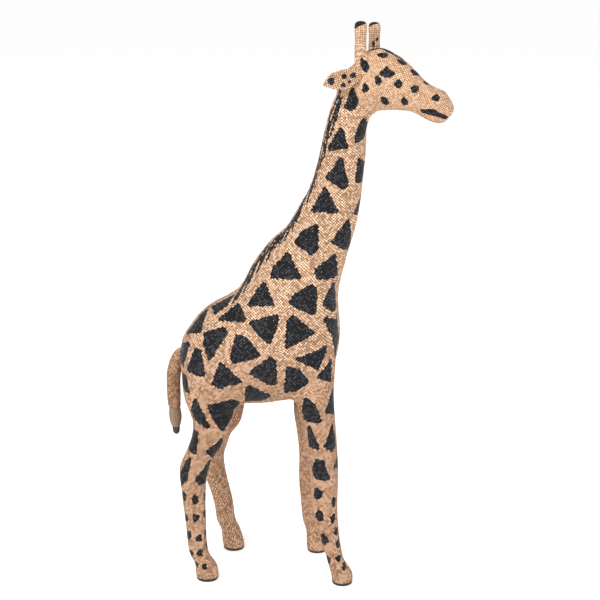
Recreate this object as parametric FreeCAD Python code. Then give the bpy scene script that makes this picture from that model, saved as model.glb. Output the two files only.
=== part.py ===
"""Standing giraffe figure: a bent steel wire armature, packed with papier-mache and covered in jute cloth.

The frame: +Z is up, +X is the way the giraffe faces, and the origin is on the floor at the middle of the
figure's bounding box.  All sizes are in millimetres.  Each body form is lofted through closed oval sections.
A station of the trunk or head gives the section's upper and lower ends in the side view and its half
width; a station of a leg gives a level section's place and half sizes.
The cloth covers are the space between a form and the same form drawn in by the cloth's thickness, and the
cores fill what the covers leave, with channels for the wires.
"""
import FreeCAD, Part
import math
import os

V = FreeCAD.Vector

# ---- driving sizes ------------------------------------------------------------------------------------
STATURE = 600.0          # floor to horn tips
LENGTH = 300.0           # tail to nose
WIDTH = 107.0            # outside of the thighs
CLOTH = 1.2              # jute and its glue
WIRE = 4.0               # armature wire, diameter
TAIL_WIRE = 2.5          # wire in the tail, diameter
HORN_WIRE = 3.0          # pins in the horns, diameter
BEND = 14.0              # bend radius of the armature wire at its centre
TOUCH = 0.1              # gap left where two crossing wires lie on each other
LASHING = 9.0            # radius of the twine lashing at each wire crossing
SOLE = 3.0               # thickness of the hoof soles
SOLE_ROUND = 2.2         # how far a sole's edge draws in at the floor
EAR_THICK = 2.4          # two layers of stiffened jute
EAR_CUP = 17.0           # radius that the ear is cupped to
HEAD_TURN = 14.0         # degrees that the head is turned to the figure's right
LEG_SEAM = 186.0         # level where the leg covers are joined to the body covers
NECK_SEAM = 11           # trunk station where the body covers meet the neck
COLLAR_SEAM = 12         # trunk station where the lower and upper neck covers meet
CROWN_INSET = 3.0        # how far the wires stop short of the cores' ends

# The pattern's own stature, length and width.  The station tables are drawn at this size.
PATTERN = (600.0, 300.4, 106.8)
UP = STATURE / PATTERN[0]
ALONG = LENGTH / PATTERN[1]
ACROSS = WIDTH / PATTERN[2]

# ---- stations -----------------------------------------------------------------------------------------
# back x, back z, underside x, underside z, half width
TRUNK = [
    (-131, 249, -131, 239, 5), (-129, 260.5, -129.5, 227, 18), (-122, 274, -123, 211, 32),
    (-106, 294, -108, 198, 44), (-86, 307, -82, 194, 50), (-67, 320, -50, 194, 53),
    (-54, 342, -14, 198.5, 53), (-42, 360, 22, 212, 50), (-30.5, 374, 36, 244, 46),
    (-17.2, 386, 39.5, 280, 41), (-7.5, 400, 37.5, 316, 36), (1.5, 416, 45, 350, 31.5),
    (8.8, 431, 54.5, 384, 28), (14, 447, 60.5, 417, 26), (18, 463, 64, 449, 24),
    (21.5, 480, 65.5, 474, 22.5), (25.5, 498, 67, 495, 21.5), (31, 516, 72, 509, 20), (42, 537, 74, 521, 16),
]
# crown x, crown z, jaw x, jaw z, half width, before the head is turned
HEAD = [
    (39, 541, 39, 532, 5), (42, 548, 43, 522, 14), (50.5, 554, 52, 512, 19), (60, 564.5, 62, 510, 21.2),
    (70, 571.3, 71, 510.2, 21.6), (80, 573, 80, 511, 21.5), (92, 569.5, 93, 512, 20), (105, 561.5, 105, 512, 17.5),
    (118, 550, 116, 510.5, 15), (131, 538.5, 127, 505, 13.5), (143, 533, 136, 501.5, 13.5),
    (151, 526.5, 145, 501, 11.5), (155.5, 519, 153, 507, 6.5),
]
# level, half depth, half width, distance from the middle, right leg x, left leg x
HIND_LEG = [
    (284, 10, 10, 20, -92, -90), (277, 19, 17, 21, -93, -91), (258, 29, 23, 23, -95, -93),
    (235, 30.5, 25, 25, -96, -94), (212, 29, 24, 27, -96.5, -94), (198, 26, 22, 28, -96, -91),
    (186, 22.5, 20, 29, -94.5, -88.5), (170, 19.5, 18, 30, -96, -88), (155, 18, 16.5, 31, -101, -91.5),
    (142, 16, 15, 32.5, -108.2, -99), (130, 16, 14.5, 34, -113.3, -103), (118, 14.7, 13.5, 35, -115.3, -105.5),
    (104, 13, 12.5, 36, -115.4, -104), (88, 12, 11.5, 37, -115, -100.5), (68, 11, 11, 38, -113.6, -95),
    (46, 10.3, 10.5, 39, -112.6, -91.5), (34, 10.3, 10.5, 39.5, -111.2, -89.5), (26, 10.3, 10.5, 40, -108.2, -86),
    (18, 11, 11, 40, -103.5, -84), (9, 12, 11.5, 40, -102, -82.5), (3, 11.8, 11.5, 40, -101.5, -81.5),
]
FRONT_LEG = [
    (306, 9, 9, 15, 8, 8), (299, 17, 15, 16, 9, 9), (280, 22, 20, 18, 10, 10), (256, 24.5, 22.5, 20, 11.5, 11),
    (232, 24, 22.5, 22, 12, 10), (212, 21.2, 21, 24, 14.3, 9), (198, 19.2, 19.5, 26, 16.5, 8),
    (186, 18.1, 18.5, 27, 18.2, 7), (171, 17, 17.5, 28.5, 20.8, 6), (155, 16.2, 16.5, 30, 23, 7.5),
    (132, 15.5, 15, 32, 25, 9.5), (109, 14.5, 13.5, 34, 26, 9), (86, 13.5, 12.5, 36, 26.8, 8),
    (63, 12, 11.5, 38, 30, 8), (46, 10, 10.5, 39, 34, 7.5), (35, 8.8, 10, 39.5, 37, 8),
    (26, 8.9, 10, 40, 39.5, 11), (17, 10.7, 10.7, 40, 43.7, 13.5), (8, 11.3, 11.3, 40, 46.5, 14.5),
    (3, 11, 11.2, 40, 46.5, 14.5),
]
# x, z, radius down the tail; the last rows are the knob and the tip
TAIL = [(-121, 249.5, 8), (-131.5, 245, 7.6), (-137.5, 235, 7.0), (-140.2, 220, 6.7), (-140.6, 203, 6.5),
        (-140.3, 190, 5.9), (-140, 184, 5.6)]
KNOB = [(-140, 184, 5.6), (-139.7, 179, 6.8), (-139.4, 172, 7.0), (-139.2, 166, 5.8), (-139, 162, 4.4)]
TIP = [(-139, 162, 4.4), (-138.8, 158, 4.0), (-138.7, 154.5, 3.2), (-138.7, 152.5, 1.6)]
# z, radius up a horn, and where the two horns stand on the head before it is turned
HORN = [(551, 5.8), (560, 6.2), (573, 6.0), (584, 5.7), (591, 5.9), (596, 6.0), (598.8, 4.7), (600, 2.4)]
HORN_SPREAD = 15.5
HORN_X = {"right": 63.8, "left": 69.7}
HORN_DROP = {"right": 0.0, "left": 2.5}
# the ear's outline from its root: distance out along it, distance across it
EAR_OUTLINE = [(0, -3.2), (5, -7.0), (11, -10.2), (18, -11.2), (25, -9.8), (33, -5.4), (39.5, 0), (34, 6.0),
               (27, 9.4), (19, 9.6), (11, 7.8), (5, 5.6), (0, 3.2)]
EAR_ROOT = {"right": V(66, 20.6, 550), "left": V(66, 20.6, 546)}
EAR_LIE = {"right": V(-36, -12, -12.5), "left": V(-34, 13, -19)}     # root to tip
# the armature's way through the body, as points on the wire's centre
SPINE = [(-108, 248), (-60, 256), (-20, 276), (10, 332), (34, 425), (47, 500)]
SPINE_IN_HEAD = [(66, 535), (126, 519)]
HIND_CROSS = (0, 0.25)         # spine run and how far along it the hind wire crosses
FRONT_CROSS = (2, 0.3)
# level, distance from the middle, right leg x, left leg x, from the crossing down
HIND_WIRE = [(210, 27, -96.5, -92), (172, 30, -96.5, -89), (129, 34, -112, -102), (95, 36.5, -114, -102),
             (34, 39.5, -110, -89.5)]
FRONT_WIRE = [(262, 20, 10, 9), (205, 25, 15.5, 8), (155, 30, 23, 8), (92, 36, 26.5, 8), (38, 39.2, 36, 8)]


# ---- building blocks ----------------------------------------------------------------------------------
def place(x, y, z):
    """A pattern point at the figure's size."""
    return V(x * ALONG, y * ACROSS, z * UP)


def turned(point):
    """A point of the head, turned with it about the top of the neck."""
    pivot = place(50, 0, 0)
    turn = FreeCAD.Rotation(V(0, 0, 1), -HEAD_TURN)
    return turn.multVec(point - pivot) + pivot


def oval(centre, tall, wide, square=2.0, count=14):
    """Points round a superellipse of half-axis vectors tall and wide about centre."""
    points = []
    for i in range(count):
        angle = 2 * math.pi * i / count
        c, s = math.cos(angle), math.sin(angle)
        power = 2.0 / square
        points.append(centre + tall * math.copysign(abs(c) ** power, c)
                      + wide * math.copysign(abs(s) ** power, s))
    return points


def loft(rings):
    """A closed solid whose skin is a smooth surface through the rings, with flat ends."""
    count = len(rings[0])
    round_by = [float(i) for i in range(count + 1)]
    curves, along = [], [0.0]
    for ring in rings:
        curve = Part.BSplineCurve()
        curve.interpolate(Points=ring, PeriodicFlag=True, Parameters=round_by)
        curves.append(curve)
    for before, after in zip(rings, rings[1:]):
        along.append(along[-1] + sum((a - b).Length for a, b in zip(before, after)) / count)
    columns = []
    for pole in range(1, curves[0].NbPoles + 1):
        column = Part.BSplineCurve()
        column.interpolate(Points=[curve.getPole(pole) for curve in curves], Parameters=along)
        columns.append(column)
    skin = Part.BSplineSurface()
    skin.buildFromPolesMultsKnots([column.getPoles() for column in columns],
                                  curves[0].getMultiplicities(), columns[0].getMultiplicities(),
                                  curves[0].getKnots(), columns[0].getKnots(), True, False,
                                  curves[0].Degree, columns[0].Degree)
    side = skin.toShape()
    ends = [Part.Face(Part.Wire(skin.vIso(v).toShape())) for v in (along[0], along[-1])]
    shell = Part.Shell([side] + ends)
    shell.sewShape()
    solid = Part.Solid(Part.Shell(shell.Faces))
    if solid.Volume < 0:
        solid.reverse()
    return solid


def upright_form(stations, inset, square=2.2, turn=False):
    """A form whose sections stand across the side view, drawn in by inset all round."""
    sections = []
    for top_x, top_z, low_x, low_z, half in stations:
        top, low = place(top_x, 0, top_z), place(low_x, 0, low_z)
        centre, tall = (top + low) * 0.5, (top - low) * 0.5
        reach = max(tall.Length - inset, 0.6)
        tall = tall.normalize() * reach
        wide = V(0, max(half * ACROSS - inset, 0.6), 0)
        if turn:
            wide = turned(centre + wide) - turned(centre)
            tall = turned(centre + tall) - turned(centre)
            centre = turned(centre)
        sections.append(oval(centre, tall, wide, square))
    return loft(sections)


def leg_form(stations, side, inset):
    """A leg from the shoulder or hip to the sole, from level sections drawn in by inset."""
    sections = []
    for level, depth, half, out, right_x, left_x in stations:
        x, y = (right_x, -out) if side == "right" else (left_x, out)
        centre = place(x, y, level)
        if level == stations[-1][0]:
            centre.z = SOLE
        sections.append(oval(centre, V(depth * ALONG - inset, 0, 0), V(0, half * ACROSS - inset, 0), 2.1))
    return loft(sections)


def tube(centres, radii):
    """A round form of changing radius along a line of points."""
    sections = []
    last = len(centres) - 1
    for i, (centre, radius) in enumerate(zip(centres, radii)):
        way = (centres[min(i + 1, last)] - centres[max(i - 1, 0)]).normalize()
        side = V(0, 1, 0) if abs(way.y) < 0.9 else V(1, 0, 0)
        across = way.cross(side).normalize()
        sections.append(oval(centre, across * radius, way.cross(across) * radius, count=12))
    return loft(sections)


def bent_wire(points, diameter, bend):
    """A round wire along straight runs joined by tangent arcs of radius bend, smaller where a run is short."""
    edges, start = [], points[0]
    for before, corner, after in zip(points, points[1:], points[2:]):
        a, b = (before - corner).normalize(), (after - corner).normalize()
        half = a.getAngle(b) / 2
        back = min(bend / math.tan(half), 0.45 * (before - corner).Length, 0.45 * (after - corner).Length)
        radius = back * math.tan(half)
        middle = (a + b).normalize()
        centre = corner + middle * (radius / math.sin(half))
        p, q = corner + a * back, corner + b * back
        edges.append(Part.LineSegment(start, p).toShape())
        edges.append(Part.Arc(p, centre - middle * radius, q).toShape())
        start = q
    edges.append(Part.LineSegment(start, points[-1]).toShape())
    path = Part.Wire(edges)
    profile = Part.Wire(Part.makeCircle(diameter / 2, points[0], points[1] - points[0]))
    return path.makePipeShell([profile], True, False)


def half_space(point, normal, size=1500.0):
    """A large block on the side of the plane that normal points to."""
    block = Part.makeBox(size, size, size, V(-size / 2, -size / 2, 0))
    block.Placement = FreeCAD.Placement(point, FreeCAD.Rotation(V(0, 0, 1), normal))
    return block


def above(level):
    return half_space(V(0, 0, level), V(0, 0, 1))


def below(level):
    return half_space(V(0, 0, level), V(0, 0, -1))


def station_plane(index):
    """The plane of a trunk station, as a point and the normal towards the head."""
    top_x, top_z, low_x, low_z, _ = TRUNK[index]
    top, low = place(top_x, 0, top_z), place(low_x, 0, low_z)
    return (top + low) * 0.5, V(0, 1, 0).cross(low - top).normalize() * -1


def clean(shape):
    """The closed solids of a result as one shape."""
    solids = [s for s in shape.Solids if s.Volume > 0.5]
    return solids[0] if len(solids) == 1 else Part.makeCompound(solids)


def less(shape, *tools):
    for tool in tools:
        shape = shape.cut(tool)
    return shape


# ---- armature -----------------------------------------------------------------------------------------
def spine_points():
    trunk = [place(x, 0, z) for x, z in SPINE]
    return trunk + [turned(place(x, 0, z)) for x, z in SPINE_IN_HEAD]


def crossing(run_share):
    """Where a leg wire crosses under the spine wire, and the crossing's middle between the two."""
    run, share = run_share
    points = spine_points()
    a, b = points[run], points[run + 1]
    under = V(0, 1, 0).cross(b - a).normalize()
    on_spine = a + (b - a) * share
    return on_spine + under * (WIRE + TOUCH), on_spine + under * ((WIRE + TOUCH) / 2)


def leg_wire(rows, cross_at, foot_rows):
    """One wire from the right foot up, across under the spine and down to the left foot."""
    cross, _ = crossing(cross_at)
    sole_x = {"right": foot_rows[-1][4], "left": foot_rows[-1][5]}
    foot_out = foot_rows[-1][3]
    left, right = [], []
    for level, out, right_x, left_x in rows:
        right.append(place(right_x, -out, level))
        left.append(place(left_x, out, level))
    right.append(V(sole_x["right"] * ALONG, -foot_out * ACROSS, SOLE + CROWN_INSET))
    left.append(V(sole_x["left"] * ALONG, foot_out * ACROSS, SOLE + CROWN_INSET))
    shoulder = 15.0 * ACROSS
    top = [V(cross.x, -shoulder, cross.z), V(cross.x, shoulder, cross.z)]
    return bent_wire(right[::-1] + top + left, WIRE, BEND)


def lashing(cross_at, *wires):
    _, middle = crossing(cross_at)
    return less(Part.makeSphere(LASHING, middle), *wires)


# ---- tail, horns, ears and soles ----------------------------------------------------------------------
def tail_piece(rows, inset=0.0):
    return tube([place(x, 0, z) for x, z, _ in rows], [r - inset for _, _, r in rows])


def tail_wire():
    rows = TAIL + KNOB[1:]
    return bent_wire([place(x, 0, z) for x, z, _ in rows], TAIL_WIRE, BEND)


def horn_piece(side, inset=0.0):
    out = HORN_SPREAD * (-1 if side == "right" else 1)
    rows = HORN if not inset else HORN[:-1]
    points = [turned(place(HORN_X[side], out, z - HORN_DROP[side])) for z, _ in rows]
    if inset:
        points[-1].z -= inset
    return tube(points, [max(r - inset, 0.8) for _, r in rows])


def horn_pin(side):
    out = HORN_SPREAD * (-1 if side == "right" else 1)
    foot = turned(place(HORN_X[side], out, HORN[0][0] - HORN_DROP[side]))
    length = (HORN[-2][0] - HORN[0][0]) * UP - CROWN_INSET
    return Part.makeCylinder(HORN_WIRE / 2, length, foot)


def ear(side):
    """A leaf cut from a shell curved round the ear's own length, opening outwards."""
    mirror = -1 if side == "right" else 1
    outline = Part.BSplineCurve()
    outline.interpolate(Points=[V(u, v, 0) for u, v in EAR_OUTLINE], PeriodicFlag=True)
    leaf = Part.Face(Part.Wire(outline.toShape())).extrude(V(0, 0, EAR_CUP))
    longest = EAR_OUTLINE[6][0]
    axis = V(1, 0, 0)
    start = V(-longest, 0, EAR_CUP + EAR_THICK)
    shell = Part.makeCylinder(EAR_CUP + EAR_THICK, 3 * longest, start, axis).cut(
        Part.makeCylinder(EAR_CUP, 3 * longest, start, axis))
    shape = leaf.common(shell)
    lie = V(EAR_LIE[side]).normalize()
    out = V(0, mirror, 0)
    across = lie.cross(out).normalize() * -mirror
    out = lie.cross(across).normalize() * mirror
    root = EAR_ROOT[side]
    root = place(root.x, root.y * mirror, root.z)
    matrix = FreeCAD.Matrix(lie.x, across.x, out.x, root.x, lie.y, across.y, out.y, root.y,
                            lie.z, across.z, out.z, root.z, 0, 0, 0, 1)
    shape = shape.transformGeometry(matrix)
    pivot = place(50, 0, 0)
    shape.rotate(pivot, V(0, 0, 1), -HEAD_TURN)
    return shape


def sole(rows, side):
    _, depth, half, out, right_x, left_x = rows[-1]
    x, y = (right_x, -out) if side == "right" else (left_x, out)
    sections = []
    for level, inset in ((SOLE, 0.0), (SOLE * 0.45, 0.1), (0.0, SOLE_ROUND)):
        centre = place(x, y, 0)
        centre.z = level
        sections.append(oval(centre, V(depth * ALONG - inset, 0, 0), V(0, half * ACROSS - inset, 0), 2.1))
    return loft(sections)


# ---- the whole figure ---------------------------------------------------------------------------------
def build():
    nodes = {}
    legs = {}
    for name, rows in (("hind", HIND_LEG), ("front", FRONT_LEG)):
        for side in ("right", "left"):
            legs[name, side] = (leg_form(rows, side, 0.0), leg_form(rows, side, CLOTH))

    spine = bent_wire(spine_points(), WIRE, BEND)
    hind = leg_wire(HIND_WIRE, HIND_CROSS, HIND_LEG)
    front = leg_wire(FRONT_WIRE, FRONT_CROSS, FRONT_LEG)
    tail_rod = tail_wire()
    nodes["spine_wire"], nodes["hind_leg_wire"], nodes["front_leg_wire"] = spine, hind, front
    nodes["tail_wire"] = tail_rod
    nodes["hind_lashing"] = lashing(HIND_CROSS, spine, hind)
    nodes["front_lashing"] = lashing(FRONT_CROSS, spine, front)
    inner_parts = [spine, hind, front, tail_rod, Part.makeSphere(LASHING, crossing(HIND_CROSS)[1]),
                   Part.makeSphere(LASHING, crossing(FRONT_CROSS)[1])]

    # trunk: one form, outside and inside the cloth, cut at the neck seams
    trunk_out, trunk_in = upright_form(TRUNK, 0.0), upright_form(TRUNK, CLOTH)
    neck_at, neck_way = station_plane(NECK_SEAM)
    collar_at, collar_way = station_plane(COLLAR_SEAM)
    head_out = upright_form(HEAD, 0.0, 2.1, True)
    head_in = upright_form(HEAD, CLOTH, 2.1, True)

    neck_out = trunk_out.common(half_space(neck_at, neck_way)).cut(head_out)
    neck_in = trunk_in.common(half_space(neck_at, neck_way)).cut(head_out)
    body_out = trunk_out.common(half_space(neck_at, neck_way * -1))
    body_in = trunk_in.common(half_space(neck_at, neck_way * -1))
    for side, way in (("right", -1), ("left", 1)):
        half = half_space(V(0, 0, 0), V(0, way, 0))
        skin, fill = body_out.common(half), body_in.common(half)
        for name in ("hind", "front"):
            outer, inner = legs[name, side]
            skin = skin.fuse(outer.common(above(LEG_SEAM * UP)).common(half))
            fill = fill.fuse(inner.common(above(LEG_SEAM * UP)).common(half))
        nodes[f"body_cover_{side}"] = less(skin, fill, tail_rod)
        body_in = body_in.fuse(fill)
    nodes["body_core"] = less(body_in, *inner_parts)
    neck_cover = neck_out.cut(neck_in)
    nodes["neck_cover_lower"] = neck_cover.common(half_space(collar_at, collar_way * -1))
    nodes["neck_cover_upper"] = neck_cover.common(half_space(collar_at, collar_way))
    nodes["neck_core"] = less(neck_in, spine)

    for (name, side), (outer, inner) in legs.items():
        lower = below(LEG_SEAM * UP)
        shank, core = outer.common(lower), inner.common(lower)
        wire = hind if name == "hind" else front
        nodes[f"{name}_leg_cover_{side}"] = shank.cut(core)
        nodes[f"{name}_leg_core_{side}"] = less(core, wire)
        nodes[f"hoof_sole_{name}_{side}"] = sole(HIND_LEG if name == "hind" else FRONT_LEG, side)

    # head, with the horns standing on its cover and their pins down into its core
    head_core = less(head_in, spine)
    for side in ("right", "left"):
        pin = horn_pin(side)
        nodes[f"horn_pin_{side}"] = pin
        head_core = head_core.cut(pin)
        horn_out, horn_in = horn_piece(side), horn_piece(side, CLOTH)
        nodes[f"horn_cover_{side}"] = less(horn_out, horn_in, head_out)
        nodes[f"horn_core_{side}"] = less(horn_in, head_out, pin)
        nodes[f"ear_{side}"] = ear(side).cut(head_out).cut(horn_out)
    pins = [nodes["horn_pin_right"], nodes["horn_pin_left"]]
    nodes["head_cover"] = less(head_out, head_in, spine, *pins)
    nodes["head_core"] = head_core

    # tail, its root seated on the rump
    tail_out, tail_in = tail_piece(TAIL), tail_piece(TAIL, CLOTH)
    nodes["tail_cover"] = less(tail_out, tail_in, body_out)
    nodes["tail_core"] = less(tail_in, body_out, tail_rod)
    nodes["tail_knob"] = tail_piece(KNOB).cut(tail_rod)
    nodes["tail_tip"] = tail_piece(TIP).cut(tail_rod)
    return nodes


def main():
    nodes = {name: clean(shape) for name, shape in build().items()}
    box = FreeCAD.BoundBox()
    for shape in nodes.values():
        box.add(shape.optimalBoundingBox())
    centre = V((box.XMin + box.XMax) / 2, (box.YMin + box.YMax) / 2, box.ZMin)
    os.makedirs("parts", exist_ok=True)
    for name, shape in nodes.items():
        shape.translate(centre * -1)
        shape.exportStep(f"parts/{name}.step")
        print(f"{name:24s} solids {len(shape.Solids)} valid {shape.isValid()} volume {shape.Volume / 1000:.2f} cm3")
    print("moved by", centre, "size", box.XLength, box.YLength, box.ZLength)


main()
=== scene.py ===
"""A standing giraffe figure: bent steel wires packed in papier-mache, covered in glued jute and painted."""
import math

import bpy
import numpy as np
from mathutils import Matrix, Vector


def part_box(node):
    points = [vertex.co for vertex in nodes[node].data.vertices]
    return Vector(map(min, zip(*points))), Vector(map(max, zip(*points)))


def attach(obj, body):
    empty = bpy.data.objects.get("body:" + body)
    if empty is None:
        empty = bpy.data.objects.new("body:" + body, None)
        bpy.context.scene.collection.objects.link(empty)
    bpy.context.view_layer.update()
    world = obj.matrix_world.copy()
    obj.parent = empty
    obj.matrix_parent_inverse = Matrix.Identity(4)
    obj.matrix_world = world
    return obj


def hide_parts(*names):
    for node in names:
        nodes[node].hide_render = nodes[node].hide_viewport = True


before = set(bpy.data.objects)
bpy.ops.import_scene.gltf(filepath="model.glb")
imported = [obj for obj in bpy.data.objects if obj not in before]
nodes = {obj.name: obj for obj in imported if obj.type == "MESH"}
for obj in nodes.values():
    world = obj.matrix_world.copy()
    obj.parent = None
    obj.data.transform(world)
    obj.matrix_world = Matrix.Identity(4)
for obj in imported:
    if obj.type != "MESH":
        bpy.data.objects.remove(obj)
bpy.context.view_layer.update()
MM = 0.001


# ---- Armature --------------------------------------------------------------------------------------------
# Three drawn steel wires make the skeleton, with a thin wire in the tail and a pin in each horn.
# They are bent cold and stay buried in the papier-mache, so they keep their shop grey.

class Sock:
    """A shader socket that takes arithmetic: each operator adds one Math node to the tree."""

    def __init__(self, tree, out):
        self.tree, self.out = tree, out

    def math(self, how, *others):
        node = self.tree.nodes.new("ShaderNodeMath")
        node.operation = how
        for slot, value in zip(node.inputs, (self, *others)):
            plug(self.tree, slot, value)
        return Sock(self.tree, node.outputs[0])

    def __add__(self, other):
        return self.math("ADD", other)

    def __mul__(self, other):
        return self.math("MULTIPLY", other)

    def __sub__(self, other):
        return self.math("SUBTRACT", other)

    def __truediv__(self, other):
        return self.math("DIVIDE", other)

    def __rsub__(self, other):
        return (self * -1.0).math("ADD", other)

    __radd__, __rmul__ = __add__, __mul__

    def step(self, low, high):
        """0 below low and 1 above high, smooth between."""
        return Tree.node(self.tree, "ShaderNodeMapRange", {"interpolation_type": "SMOOTHSTEP"},
                         Value=self, From_Min=low, From_Max=high)


def plug(tree, slot, value):
    if isinstance(value, Sock):
        tree.links.new(value.out, slot)
    else:
        slot.default_value = value


class Tree:
    """A material's node tree. node() adds any node: its type, its settings, then its inputs by name."""

    def __init__(self, name):
        self.material = bpy.data.materials.new(name)
        self.material.use_nodes = True
        self.tree = self.material.node_tree
        self.shader = self.tree.nodes["Principled BSDF"]

    @staticmethod
    def node(tree, kind, settings=None, out=0, **inputs):
        node = tree.nodes.new(kind)
        for key, value in (settings or {}).items():
            if key == "stops":
                ramp = node.color_ramp
                for i, (place, colour) in enumerate(value):
                    stop = ramp.elements[i] if i < 2 else ramp.elements.new(place)
                    stop.position, stop.color = place, (*colour, 1.0)
            else:
                setattr(node, key, value)
        for key, value in inputs.items():
            plug(tree, node.inputs[key.replace("_", " ")], value)
        return Sock(tree, node.outputs[out])

    def add(self, kind, settings=None, out=0, **inputs):
        return Tree.node(self.tree, kind, settings, out, **inputs)

    def mix(self, share, a, b):
        """Colour a, with b laid over it by share."""
        node = self.tree.nodes.new("ShaderNodeMix")
        node.data_type = "RGBA"
        slots = {"Factor": node.inputs[0], "A": node.inputs[6], "B": node.inputs[7]}
        for key, value in (("Factor", share), ("A", a), ("B", b)):
            plug(self.tree, slots[key], value if isinstance(value, (Sock, float)) else (*value, 1.0))
        return Sock(self.tree, node.outputs[2])

    def vector(self, how, a, b):
        node = self.tree.nodes.new("ShaderNodeVectorMath")
        node.operation = how
        for slot, value in zip(node.inputs, (a, b)):
            plug(self.tree, slot, value)
        return Sock(self.tree, node.outputs[0])

    def where(self):
        return self.add("ShaderNodeTexCoord", out=3)

    def finish(self, colour, roughness, height=None, depth=0.001, **plain):
        plug(self.tree, self.shader.inputs["Base Color"], colour)
        plug(self.tree, self.shader.inputs["Roughness"], roughness)
        if height is not None:
            bump = self.add("ShaderNodeBump", Height=height, Strength=1.0, Distance=depth)
            plug(self.tree, self.shader.inputs["Normal"], bump)
        for key, value in plain.items():
            plug(self.tree, self.shader.inputs[key.replace("_", " ")], value)
        return self.material


def wire_steel():
    """Dull drawn wire: fine lengthwise scratches and a few spots of rust."""
    t = Tree("drawn_wire")
    scratch = t.add("ShaderNodeTexNoise", Vector=t.where(), Scale=900.0, Detail=3.0)
    rust = t.add("ShaderNodeTexNoise", Vector=t.where(), Scale=60.0, Detail=5.0).step(0.58, 0.7)
    colour = t.mix(rust, (0.27, 0.27, 0.28), (0.2, 0.09, 0.045))
    return t.finish(colour, rust * 0.35 + 0.38 + scratch * 0.1, scratch, 0.00005, Metallic=0.85)


def dress(names, material):
    for name in names:
        slots = nodes[name].data.materials
        slots.clear()
        slots.append(material)


dress(["spine_wire", "hind_leg_wire", "front_leg_wire", "tail_wire", "horn_pin_right", "horn_pin_left"],
      wire_steel())


# ---- Lashings --------------------------------------------------------------------------------------------
# A few turns of jute twine bind each leg wire under the spine wire, soaked in glue until they set hard.

def lashing_twine():
    """Wound twine: close turns round the bundle, painted darker in the grooves between them as painted shade,
    and the fibres' own roughness.
    """
    t = Tree("lashing_twine")
    turns = t.add("ShaderNodeTexWave", {"bands_direction": "Z"}, out=1, Vector=t.where(), Scale=110.0,
                  Distortion=2.0, Detail=2.0)
    fibre = t.add("ShaderNodeTexNoise", Vector=t.where(), Scale=1200.0, Detail=4.0)
    # painted shade: the grooves between the turns are darker
    colour = t.mix(turns, (0.13, 0.075, 0.035), (0.36, 0.24, 0.13))
    return t.finish(colour, fibre * 0.2 + 0.75, turns + fibre * 0.3, 0.0006)


dress(["hind_lashing", "front_lashing"], lashing_twine())


# ---- Papier-mache cores ----------------------------------------------------------------------------------
# Torn paper and flour paste, built up over the wires in layers and rasped smooth when dry.

def paper_pulp():
    """Dried pulp: grey paper flecks in paste, with shallow pits."""
    t = Tree("paper_pulp")
    fleck = t.add("ShaderNodeTexVoronoi", Vector=t.where(), Scale=260.0)
    lump = t.add("ShaderNodeTexNoise", Vector=t.where(), Scale=120.0, Detail=6.0)
    colour = t.mix(fleck.step(0.1, 0.6), (0.32, 0.3, 0.26), (0.58, 0.53, 0.44))
    return t.finish(colour, lump * 0.15 + 0.8, lump + fleck * 0.3, 0.0007)


cores = ["body_core", "neck_core", "head_core", "tail_core", "horn_core_right", "horn_core_left"]
cores += [f"{leg}_leg_core_{side}" for leg in ("hind", "front") for side in ("right", "left")]
dress(cores, paper_pulp())


# ---- Soles -----------------------------------------------------------------------------------------------
# Each leg stands on a pad of pressed felt, glued under the cloth and painted black round its edge.

def sole_felt():
    """Black-painted felt: a satin edge over a fibrous pad."""
    t = Tree("sole_felt")
    fibre = t.add("ShaderNodeTexNoise", Vector=t.where(), Scale=900.0, Detail=4.0)
    wear = t.add("ShaderNodeTexNoise", Vector=t.where(), Scale=160.0, Detail=3.0).step(0.55, 0.75)
    colour = t.mix(wear, (0.012, 0.011, 0.012), (0.06, 0.048, 0.042))
    return t.finish(colour, fibre * 0.3 + 0.5, fibre, 0.0003)


dress([f"hoof_sole_{leg}_{side}" for leg in ("hind", "front") for side in ("right", "left")], sole_felt())


# ---- Body covers -----------------------------------------------------------------------------------------
# Jute cloth is glued wet over the cores.  It takes up the form and rounds off every hollow, so all the
# covers are parts of one smooth skin.  The body has two of them, right and left, which meet along the back
# and the belly and run down to the hocks and knees.

# The stations that the trunk and the neck are built on, in millimetres from the marking-out point:
# back x, back z, underside x, underside z, half width
TRUNK = [
    (-131, 249, -131, 239, 5), (-129, 260.5, -129.5, 227, 18), (-122, 274, -123, 211, 32),
    (-106, 294, -108, 198, 44), (-86, 307, -82, 194, 50), (-67, 320, -50, 194, 53),
    (-54, 342, -14, 198.5, 53), (-42, 360, 22, 212, 50), (-30.5, 374, 36, 244, 46),
    (-17.2, 386, 39.5, 280, 41), (-7.5, 400, 37.5, 316, 36), (1.5, 416, 45, 350, 31.5),
    (8.8, 431, 54.5, 384, 28), (14, 447, 60.5, 417, 26), (18, 463, 64, 449, 24),
    (21.5, 480, 65.5, 474, 22.5), (25.5, 498, 67, 495, 21.5), (31, 516, 72, 509, 20), (42, 537, 74, 521, 16),
]
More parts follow.
